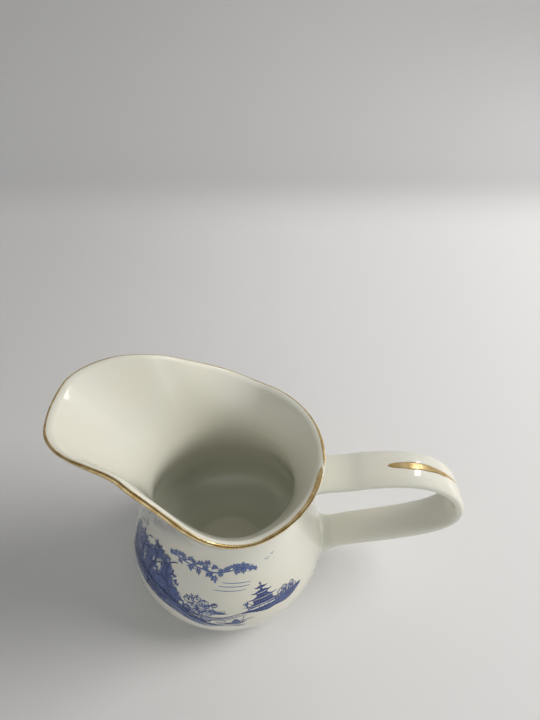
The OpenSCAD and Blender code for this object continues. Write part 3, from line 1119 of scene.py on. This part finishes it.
def drawGrove():
    look = groveLook
    d = Drawing(look["seed"])
    uniform = d.rng.uniform
    for x, y, wide, tall in look["masses"]:
        d.blob(x, y, wide, tall, 0, 0.72)
        d.clump(x, y, wide, tall, int(wide * tall * 2.6), 1.25, 0.72, 60, 60)
    for x, y, wide, tall, turn in look["gaps"]:
        d.blob(x, y, wide, tall, turn, -0.75)
    for trunk in look["trunks"]:
        d.line(trunk, 1.0, 0.98, (1, 0.2))
        for k in range(look["twigs"]):
            y = trunk[1][1] + k * 2.3
            x = trunk[2][0] + (trunk[-1][0] - trunk[2][0]) * k / look["twigs"]
            side = -1 if k % 2 else 1
            d.line([(x, y), (x + side * 1.8, y + 1.4), (x + side * 3.4, y + 1.9)], 0.42, 0.9)
    # the bank is drawn in long strokes, one above another, that close up towards the water
    for k in range(look["bankStrokes"]):
        rise = 0.55 * k
        run = []
        for x, y in look["bank"][d.rng.randrange(0, 2):]:
            awayFromWater = 0.35 + 0.65 * min(1, (-x - 2) / 14)
            run.append((x + uniform(-0.6, 0.6), y + rise * awayFromWater + uniform(-0.12, 0.12)))
        d.line(run, 0.46 if k % 3 == 0 else 0.26, 0.82 if k % 2 == 0 else 0.5, (0.4, 0.1))
    for k in range(look["grass"]):
        x = uniform(-38, -15)
        y = 18.6 + (x + 38) / 23 * -0.6 + uniform(0.3, 4.6)
        d.line([(x, y), (x + uniform(1.4, 3), y - uniform(0.7, 1.3))], 0.32, uniform(0.55, 1), (0.8, 0.1))
    for x, y, top, lean in look["shoots"]:
        tall = top - y
        bends = [(x + lean * over, y + tall * up) for over, up in ((0, 0), (0.2, 0.35), (0.9, 0.7), (0.6, 1))]
        d.line(bends, 0.32, 0.7, (0.9, 0.2))
        for k in range(7):
            turn = math.radians(40 if k % 2 else 140)
            d.leafAt(x + lean * 0.6, y + tall * (0.35 + 0.09 * k), 1.2, turn, 0.6)
    for x, y, wide, tall in look["tufts"]:
        d.clump(x, y, wide, tall, 16, 0.95, 0.8, 80, 70)
    return d


branchLook = {
    "seed": 8,
    "bough": [
        (-17.5, 36.3), (-14.5, 36.8), (-11, 35.9), (-8, 35.5), (-4.5, 34.8), (-1.5, 34.2), (2, 34.4),
        (5, 34.8), (8, 34.3), (10.5, 33.8),
    ],
    "twigs": [
        ((-15.6, 36.6), (-14.4, 37.6), (-12.6, 38.4)), ((-12.4, 36.3), (-10.6, 37.3), (-8.4, 38)),
        ((-8.6, 35.6), (-6.4, 36.8), (-3.6, 37.4)), ((-9.6, 35.6), (-8.6, 34.8), (-6.8, 34.2)),
        ((-4.8, 34.9), (-3.6, 33.6), (-1.8, 32.4)), ((1.4, 34.4), (3, 35.4), (5.2, 36)),
        ((4.6, 34.8), (6.8, 35.6), (8.6, 35.4)), ((-6, 35.1), (-4.2, 36), (-1.4, 36.2)),
    ],
    # heads of leaves, as middle and reach
    "heads": [
        (-16.2, 37.4, 1.1), (-14.2, 38.2, 1.2), (-12.2, 38.5, 1), (-11.8, 37, 1.1), (-9.4, 37.9, 1.2),
        (-8.2, 36.6, 1), (-13.4, 35.5, 0.9), (-9.4, 34.8, 1), (-6.8, 34.1, 1), (-6.2, 37.1, 1.1),
        (-3.8, 37.5, 1.1), (-4.4, 35.8, 0.9), (-1.4, 36.3, 1), (-3.4, 33.4, 1), (-1.7, 32.2, 1.1),
        (0.4, 34.9, 0.9), (2.6, 35.5, 1), (0.2, 33.6, 0.8), (5, 36, 1.2), (6.9, 35.8, 1.2), (8.7, 35.3, 1.1),
        (7.4, 34.1, 1), (5.4, 34, 0.9), (10.2, 34.1, 1), (11.4, 33.6, 0.7),
    ],
}


def drawBranch():
    d = Drawing(branchLook["seed"])
    d.line(branchLook["bough"], 0.5, 0.62, (1, 0.25))
    for twig in branchLook["twigs"]:
        d.line(twig, 0.24, 0.5, (0.8, 0.2))
    for x, y, reach in branchLook["heads"]:
        d.rosette(x, y, reach * 0.7, 7, reach, 0.6)
        d.blob(x, y, reach * 1.3, reach * 1.05, 0, 0.5)
    return d


# a scalloped ring, nearest its middle at every other point
def scallops(x, y, r, count, squash, nip):
    ring = []
    for k in range(count + 1):
        a, reach = math.tau * k / count, r * (1 if k % 2 else nip)
        ring.append((x + reach * math.cos(a), y + reach * squash * math.sin(a)))
    return ring


bushLook = {
    "seed": 13,
    # rounds of leaves, as middle, radius and tone
    "rounds": [
        (-9.4, 23.6, 1.7, 0.85), (-7.2, 24.3, 1.6, 0.8), (-5, 23.4, 1.6, 0.7), (-8.4, 21.6, 1.6, 0.7),
        (-5.8, 21.4, 1.7, 0.6), (-3.6, 22, 1.5, 0.6), (-6.8, 19.6, 1.7, 0.7), (-4.2, 19.8, 1.6, 0.6),
        (-1.9, 23, 0.9, 0.9), (-2.4, 20.4, 1.2, 0.6), (-9.8, 20, 1.3, 0.8),
    ],
    "stem": [(-6.6, 18), (-6.2, 19.6), (-6.9, 21), (-6.4, 22.6)],
}


def drawBush():
    d = Drawing(bushLook["seed"])
    for x, y, r, tone in bushLook["rounds"]:
        d.line(scallops(x, y, r, 14, 0.78, 0.8), 0.26, tone, (0.9, 0.7))
        d.clump(x - r * 0.2, y + r * 0.15, r * 0.7, r * 0.5, 9, 0.75, tone, 70, 70)
        d.blob(x, y, r, r * 0.75, 0, 0.3)
    d.line(bushLook["stem"], 0.4, 0.9)
    return d


shoreLook = {
    "seed": 21,
    "edge": [(-12, 20.6), (-9, 19.5), (-6, 18.5), (-2.5, 18.1), (1, 18.4), (4.6, 19.2), (7, 19.3)],
    # lines along that edge, as drop, width, tone and first point
    "lines": [
        (0, 0.42, 0.92, 0), (0.55, 0.28, 0.7, 0), (1.1, 0.24, 0.55, 1), (2.9, 0.34, 0.8, 1),
        (3.5, 0.24, 0.55, 2),
    ],
    "islet": [(-2.2, 20), (-1.2, 20.5), (-0.2, 20.6), (0.9, 20.2), (1.5, 19.9), (0, 19.7), (-1.4, 19.7)],
    "hull": [
        (0.6, 15.7), (1.6, 15), (3.4, 14.7), (5.2, 14.9), (6.6, 15.8), (5.4, 15.5), (3.4, 15.4), (1.8, 15.5),
    ],
    "cabin": [(2.5, 15.5), (2.9, 16.7), (3.7, 17.3), (4.5, 16.7), (4.8, 15.5)],
    "mast": [(5.4, 15.6), (5.9, 17.4), (6, 18.2)],
    "oar": [(1.4, 15.5), (0.7, 16.6), (0.4, 17.1)],
    # ripples, as start and length
    "ripples": [
        (-4.6, 14.9, 3.4), (-3, 14.3, 4.2), (0.8, 14.1, 5.6), (-1.8, 16.2, 2.6), (6.4, 16.6, 2.4),
        (3.2, 13.6, 3.2), (-7.4, 15.9, 2.6),
    ],
}


def drawShore():
    look = shoreLook
    d = Drawing(look["seed"])
    for drop, width, tone, first in look["lines"]:
        run = [(x, y - drop + d.rng.uniform(-0.1, 0.1)) for x, y in look["edge"][first:]]
        d.line(run, width, tone, (0.3, 0.1))
    d.shape(look["islet"], 0.75, True)
    for k in range(5):
        d.line([(-0.9 + k * 0.4, 20.3), (-1.1 + k * 0.5, 21.2 + 0.2 * (k % 2))], 0.16, 0.8)
    d.shape(look["hull"], 0.98, True)
    d.shape(look["cabin"], 0.85, True)
    d.line(look["mast"], 0.2, 0.9)
    d.line(look["oar"], 0.18, 0.8)
    for x, y, long in look["ripples"]:
        d.line([(x, y), (x + long / 2, y - 0.12), (x + long, y + 0.05)], 0.2, 0.55, (0.2, 0.1))
    d.blob(3.6, 15.1, 3.2, 0.9, 0, 0.4)
    d.blob(-2.5, 18.1, 5.5, 0.8, 0, 0.3)
    return d


pagodaLook = {
    "seed": 34,
    "middle": 12.0,
    "ground": 19.8,
    "tiers": [(6.2, 2.2), (4.8, 2.0), (3.5, 1.8), (2.2, 1.5)],  # half width of each roof, height of its tier
    "eaves": 1.9,
    "bankTop": [
        (5.2, 19.5), (7, 19.9), (9, 20.3), (12, 20.4), (15, 20.2), (18, 20.4), (21, 20.2), (24.4, 19.7),
    ],
    "bankFoot": [(23.6, 18.9), (21.5, 18), (18.5, 17.5), (15.5, 18.2), (12.5, 18.1), (8, 19.2)],
    "waterLine": [(4.6, 19.3), (8, 19.1), (12.5, 17.9), (15.5, 18), (18.5, 17.3), (21.5, 17.8), (25, 19.4)],
    "bankStrokes": 26,
    "trees": [(17.5, 21.7, 1.1), (18.9, 22.3, 1), (20.2, 21.3, 1.05), (21.6, 21.9, 0.9)],
    "shrub": [(7.6, 20.2), (7.2, 21.4), (7.5, 22.3)],
}


# one storey of the tower: a body with four posts, and a roof that sags between upturned corners
def drawTier(d, x, y, half, tall):
    body, eave = half - pagodaLook["eaves"], y + tall * 0.5
    top = body * 0.9
    d.shape([(x - body, y), (x + body, y), (x + top, eave + 0.1), (x - top, eave + 0.1)], 0.85)
    for k in range(4):
        post = x - body + body * 2 * k / 3
        d.line([(post, y), (post, eave)], 0.2, 0.95, (1, 1))
    sag = [(1, 0.42), (0.72, 0.05), (0.4, -0.08)]
    roof = [(x - half * share, eave + up) for share, up in sag] + [(x, eave - 0.12)]
    roof += [(x + half * share, eave + up) for share, up in sag[::-1]]
    ridge, corner, crest = body * 0.62, half * 0.62, eave + tall * 0.52
    roof += [(x + corner, eave + 0.42), (x + ridge, crest), (x - ridge, crest), (x - corner, eave + 0.42)]
    d.shape(roof, 0.98)


def drawPagoda():
    look = pagodaLook
    d = Drawing(look["seed"])
    uniform = d.rng.uniform
    x, y = look["middle"], look["ground"]
    for half, tall in look["tiers"]:
        drawTier(d, x, y, half, tall)
        y += tall
    d.line([(x, y + 0.1), (x, y + 1.3)], 0.3, 0.95, (1, 0.3))
    d.rosette(x, y + 0.8, 0.3, 5, 0.4, 0.9)
    # bank under it, darkest along its foot
    d.shape(look["bankTop"] + look["bankFoot"], 0.8, True)
    for k in range(look["bankStrokes"]):
        a = uniform(7.5, 23)
        b = 18.4 + uniform(-0.3, 1.6) * min(1, (a - 6) / 5)
        d.line([(a, b), (a + uniform(0.9, 2.2), b + uniform(-0.25, 0.1))], 0.26, uniform(0.7, 1), (0.8, 0.1))
    d.line(look["waterLine"], 0.5, 1, (0.2, 0.1))
    # small round trees, a fence and a shrub beside the tower
    for tx, ty, r in look["trees"]:
        d.line([(tx, 20.2), (tx + 0.1, ty)], 0.24, 0.9, (1, 0.5))
        d.line(scallops(tx, ty, r, 12, 1, 0.82), 0.22, 0.85, (0.9, 0.8))
        d.clump(tx, ty, r * 0.6, r * 0.6, 6, 0.5, 0.6, 60, 80)
        d.blob(tx, ty, r, r, 0, 0.25)
    for k in range(9):
        post = 15.6 + k * 0.9
        d.line([(post, 20), (post, 21.3)], 0.16, 0.9, (1, 0.8))
    for rail in (20.6, 21.1):
        d.line([(15.4, rail), (19, rail + 0.05), (23.2, rail - 0.3)], 0.14, 0.9, (0.8, 0.3))
    d.line(look["shrub"], 0.26, 0.85)
    d.clump(7.3, 22.3, 1, 0.7, 12, 0.7, 0.75, 70, 80)
    return d


mistLook = {
    "streaks": [
        [(-2.4, 28.4), (1, 28.0), (4.4, 27.7), (7.6, 27.6)],
        [(-0.6, 29.6), (3, 29.2), (6, 28.9), (9, 28.8)],
        [(0.6, 30.8), (4, 30.3), (7, 30.0), (9.4, 29.8)],
    ],
    "birds": [(15.8, 34.6, 1.0), (18, 35.5, 0.75)],
}


def drawMist():
    d = Drawing()
    for streak in mistLook["streaks"]:
        d.line(streak, 0.26, 0.34, (0.6, 0.5))
    for x, y, s in mistLook["birds"]:
        d.line([(x - s, y + s * 0.55), (x - s * 0.35, y + s * 0.5), (x, y)], 0.18, 0.5, (0.2, 0.8))
        d.line([(x, y), (x + s * 0.45, y + s * 0.55), (x + s * 1.1, y + s * 0.6)], 0.18, 0.5, (0.8, 0.2))
    d.blob(3.4, 29.1, 5, 0.9, 0, 0.16)
    return d


brush("groveStrokes", drawGrove(), "grove_print", 0.42)
brush("branchStrokes", drawBranch(), "branch_print", 0.32)
brush("bushStrokes", drawBush(), "bush_print", 0.32)
brush("shoreStrokes", drawShore(), "shore_print", 0.3)
brush("pagodaStrokes", drawPagoda(), "pagoda_print", 0.5)
brush("mistStrokes", drawMist(), "cloud_print", 0.1)


stageLook = {
    "floor": (0.86, 0.86, 0.865, 1),
    "mottle": (0.80, 0.80, 0.81, 1),
    "left": (0.68, 0.68, 0.672, 1),
    "shade": (0.57, 0.57, 0.58, 1),
    "deep": (0.54, 0.54, 0.545, 1),
    "deepShadeRight": (0.38, 0.38, 0.385, 1),
    "half": 1.6,
    "back": 0.22,
    "bend": 0.15,
    "top": 1.0,
}


# plain paper that bends up behind the jug, with painted shade that makes it duller to the left, where it
# rises, and higher up towards the right
def makeStage():
    look = stageLook
    material, g = newMaterial("pale paper sweep")
    where = g.place()
    mottle = g.noise(where, 14, 4, 0.6)
    across = g.add("ShaderNodeSeparateXYZ", None, {0: where})
    height = g.also(across, "Z")
    colour = g.blend(mottle * 0.1, look["floor"], look["mottle"])
    # painted shade on the floor to the left
    colour = g.blend((1 - g.smooth(across, -0.14, 0.06)) * 0.7, colour, look["left"])
    # painted shade where the paper rises, then deeper painted shade higher up, darkest to the right
    colour = g.blend(g.smooth(height, -0.004, 0.016), colour, look["shade"])
    deep = g.blend(g.smooth(across, 0.0, 0.4), look["deep"], look["deepShadeRight"])
    colour = g.blend(g.smooth(height, 0.02, 0.12), colour, deep)
    finishMaterial(g, {"Base Color": colour, "Roughness": 0.75 + mottle * 0.1, "Specular IOR Level": 0.2})
    half, back, bend = look["half"], look["back"], look["bend"]
    profile = [(-half, 0.0), (back - 0.1, 0.0), (back, 0.0)]
    for a in np.radians(np.arange(6, 91, 6)):
        profile.append((back + bend * math.sin(a), bend * (1 - math.cos(a))))
    profile.append((back + bend, look["top"]))
    rows = [np.array([(x, y, z) for x in np.linspace(-half, half, 9)]) * 1000 for y, z in profile]
    mesh = skinMesh("sweep", rows, aroundRow=False)
    for face in mesh.polygons:
        face.use_smooth = True
    newPiece("paperSweep", mesh, material)


# the key shades but isn't mirrored in the glaze; the lamp is only ever seen mirrored
lightLook = {
    "key": {
        "at": (0.64, 0.07, 0.50),
        "size": (0.5, 0.5),
        "power": 4.7,
        "colour": (1.0, 0.975, 0.94),
        "mirrored": False,
    },
    "lamp": {
        "at": (0.357, 0.31, 0.40),
        "size": (0.05, 0.16),
        "power": 0.13,
        "colour": (1.0, 0.98, 0.93),
        "mirrored": True,
    },
}


def makeLight(name):
    look = lightLook[name]
    data = bpy.data.lights.new(name, "AREA")
    data.shape = "ELLIPSE"
    data.size, data.size_y = look["size"]
    data.energy = look["power"]
    data.color = look["colour"]
    light = bpy.data.objects.new(name, data)
    light.location = look["at"]
    light.rotation_euler = (Vector((0, 0, 0.03)) - Vector(look["at"])).to_track_quat("-Z", "Y").to_euler()
    light.visible_glossy = look["mirrored"]
    light.visible_diffuse = not look["mirrored"]
    bpy.context.scene.collection.objects.link(light)


worldLook = {"sky": (0.14, 0.14, 0.14, 1), "horizon": (0.30, 0.30, 0.30, 1), "front": (0.74, 0.74, 0.72, 1)}


# the room: dim overhead, lighter low down and lightest behind the camera
def makeWorld():
    world = bpy.data.worlds.new("studio")
    world.use_nodes = True
    world.node_tree.nodes.clear()
    g = Graph(world.node_tree)
    toward = g.add("ShaderNodeSeparateXYZ", None, {0: g.add("ShaderNodeTexCoord", None, None, "Object")})
    colour = g.blend(g.smooth(g.also(toward, "Z"), 0.1, 0.8), worldLook["horizon"], worldLook["sky"])
    front = g.also(toward, "Z") * 0.45 - g.also(toward, "Y") * 0.89
    colour = g.blend(g.smooth(front, 0.6, 1.0), colour, worldLook["front"])
    light = g.add("ShaderNodeBackground", None, {"Color": colour})
    output = g.tree.nodes.new("ShaderNodeOutputWorld")
    g.tree.links.new(light.socket, output.inputs["Surface"])
    bpy.context.scene.world = world


makeStage()
for name in lightLook:
    makeLight(name)
makeWorld()
bpy.context.scene.view_settings.view_transform = "Standard"

cameraLook = {"at": (0.0139, -0.098, 0.1772), "down": 41.5, "lens": 27.05, "sensor": 36.0, "nearest": 0.005}
cameraData = bpy.data.cameras.new("camera")
cameraData.sensor_width = cameraLook["sensor"]
cameraData.lens = cameraLook["lens"]
cameraData.clip_start = cameraLook["nearest"]
camera = bpy.data.objects.new("camera", cameraData)
camera.location = cameraLook["at"]
camera.rotation_euler = (math.radians(90 - cameraLook["down"]), 0, 0)
bpy.context.scene.collection.objects.link(camera)
bpy.context.scene.camera = camera
print("stage, light and camera set")
